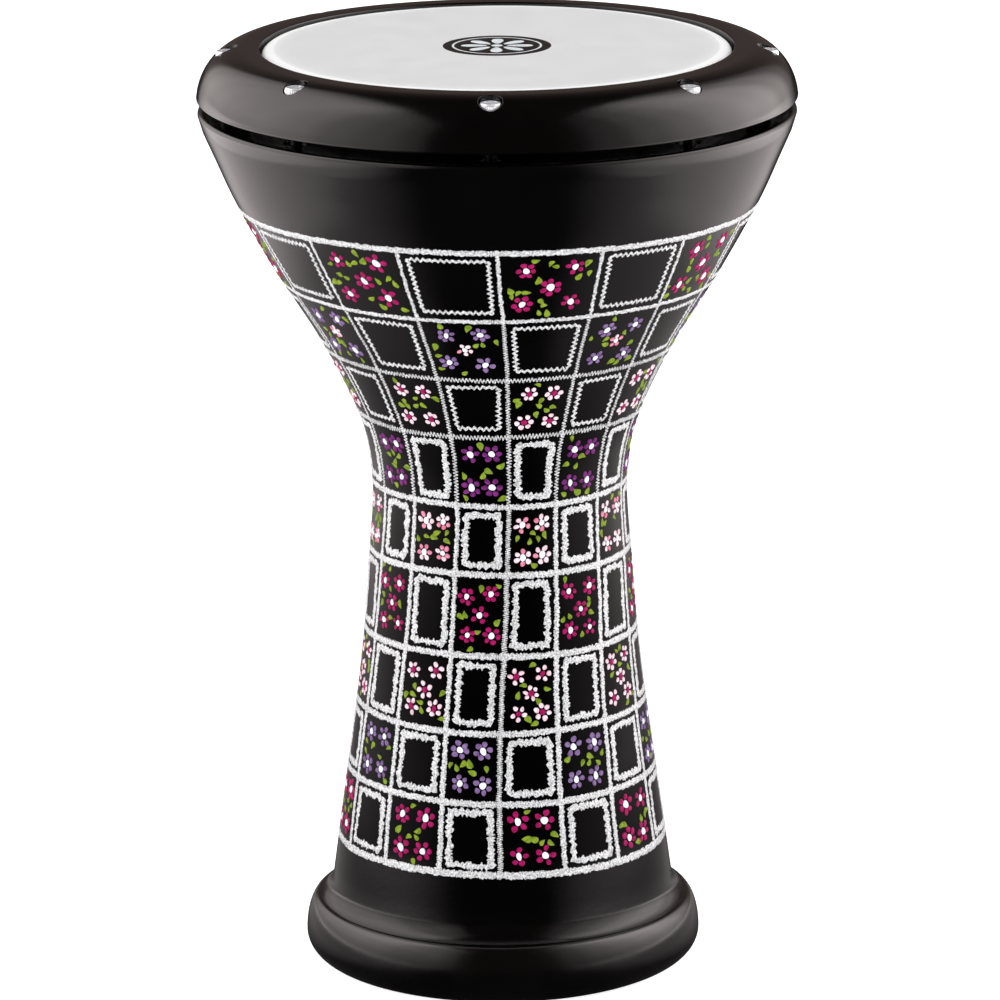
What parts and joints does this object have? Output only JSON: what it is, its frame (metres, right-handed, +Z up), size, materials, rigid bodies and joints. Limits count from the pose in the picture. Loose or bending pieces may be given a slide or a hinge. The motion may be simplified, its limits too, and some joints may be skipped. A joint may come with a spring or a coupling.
{
  "type": "darbuka",
  "caption": "Goblet drum with a black painted cast shell, bands of painted flowers, a white plastic head and a top tension ring held by socket screws.",
  "frame": {"origin": "centre of the foot ring's flat face, on the surface that the drum stands on", "axes": "+Z up the drum's axis to the head, -Y to the front, where screw 1 is, +X to the right seen from the front"},
  "size_m": [0.2752, 0.2752, 0.432],
  "materials": {
    "shell_paint": "gloss",
    "foot_paint": "gloss",
    "ring_paint": "gloss",
    "drum_film": "satin",
    "hoop_metal": "satin",
    "screw_chrome": "gloss",
    "plain_steel": "satin",
    "paint_silver": "satin",
    "paint_magenta": "satin",
    "paint_pink": "satin",
    "paint_lavender": "satin",
    "paint_purple": "satin",
    "paint_pale": "satin",
    "paint_white": "satin",
    "paint_green": "satin",
    "head_print": "satin"
  },
  "bodies": {
    "drum": {"shell": "shell_paint", "foot_ring": "foot_paint", "head_film": "drum_film", "thread_insert_1": "plain_steel", "thread_insert_2": "plain_steel", "thread_insert_3": "plain_steel", "thread_insert_4": "plain_steel", "thread_insert_5": "plain_steel", "thread_insert_6": "plain_steel", "thread_insert_7": "plain_steel", "thread_insert_8": "plain_steel"},
    "rim": {"tension_ring": "ring_paint", "head_hoop": "hoop_metal", "screw_washer_1": "plain_steel", "screw_washer_2": "plain_steel", "screw_washer_3": "plain_steel", "screw_washer_4": "plain_steel", "screw_washer_5": "plain_steel", "screw_washer_6": "plain_steel", "screw_washer_7": "plain_steel", "screw_washer_8": "plain_steel"},
    "screw_1": {"tension_screw_1": "screw_chrome"},
    "screw_2": {"tension_screw_2": "screw_chrome"},
    "screw_3": {"tension_screw_3": "screw_chrome"},
    "screw_4": {"tension_screw_4": "screw_chrome"},
    "screw_5": {"tension_screw_5": "screw_chrome"},
    "screw_6": {"tension_screw_6": "screw_chrome"},
    "screw_7": {"tension_screw_7": "screw_chrome"},
    "screw_8": {"tension_screw_8": "screw_chrome"}
  },
  "joints": [
    {"name": "ring_travel", "type": "slide", "parent": "drum", "child": "rim", "axis": [0, 0, 1], "range_m": [-0.002, 0.004]},
    {"name": "screw_turn_1", "type": "hinge", "parent": "rim", "child": "screw_1", "pos_m": [0, -0.1236, 0.4246], "axis": [0, 0, 1], "range_deg": [-720, 1440]},
    {"name": "screw_turn_2", "type": "hinge", "parent": "rim", "child": "screw_2", "pos_m": [0.0874, -0.0874, 0.4246], "axis": [0, 0, 1], "range_deg": [-720, 1440]},
    {"name": "screw_turn_3", "type": "hinge", "parent": "rim", "child": "screw_3", "pos_m": [0.1236, 0, 0.4246], "axis": [0, 0, 1], "range_deg": [-720, 1440]},
    {"name": "screw_turn_4", "type": "hinge", "parent": "rim", "child": "screw_4", "pos_m": [0.0874, 0.0874, 0.4246], "axis": [0, 0, 1], "range_deg": [-720, 1440]},
    {"name": "screw_turn_5", "type": "hinge", "parent": "rim", "child": "screw_5", "pos_m": [0, 0.1236, 0.4246], "axis": [0, 0, 1], "range_deg": [-720, 1440]},
    {"name": "screw_turn_6", "type": "hinge", "parent": "rim", "child": "screw_6", "pos_m": [-0.0874, 0.0874, 0.4246], "axis": [0, 0, 1], "range_deg": [-720, 1440]},
    {"name": "screw_turn_7", "type": "hinge", "parent": "rim", "child": "screw_7", "pos_m": [-0.1236, 0, 0.4246], "axis": [0, 0, 1], "range_deg": [-720, 1440]},
    {"name": "screw_turn_8", "type": "hinge", "parent": "rim", "child": "screw_8", "pos_m": [-0.0874, -0.0874, 0.4246], "axis": [0, 0, 1], "range_deg": [-720, 1440]}
  ],
  "couplings": [
    {"joint": "screw_turn_1", "follows": "ring_travel", "rad_per_m": 6283.2},
    {"joint": "screw_turn_2", "follows": "ring_travel", "rad_per_m": 6283.2},
    {"joint": "screw_turn_3", "follows": "ring_travel", "rad_per_m": 6283.2},
    {"joint": "screw_turn_4", "follows": "ring_travel", "rad_per_m": 6283.2},
    {"joint": "screw_turn_5", "follows": "ring_travel", "rad_per_m": 6283.2},
    {"joint": "screw_turn_6", "follows": "ring_travel", "rad_per_m": 6283.2},
    {"joint": "screw_turn_7", "follows": "ring_travel", "rad_per_m": 6283.2},
    {"joint": "screw_turn_8", "follows": "ring_travel", "rad_per_m": 6283.2}
  ]
}
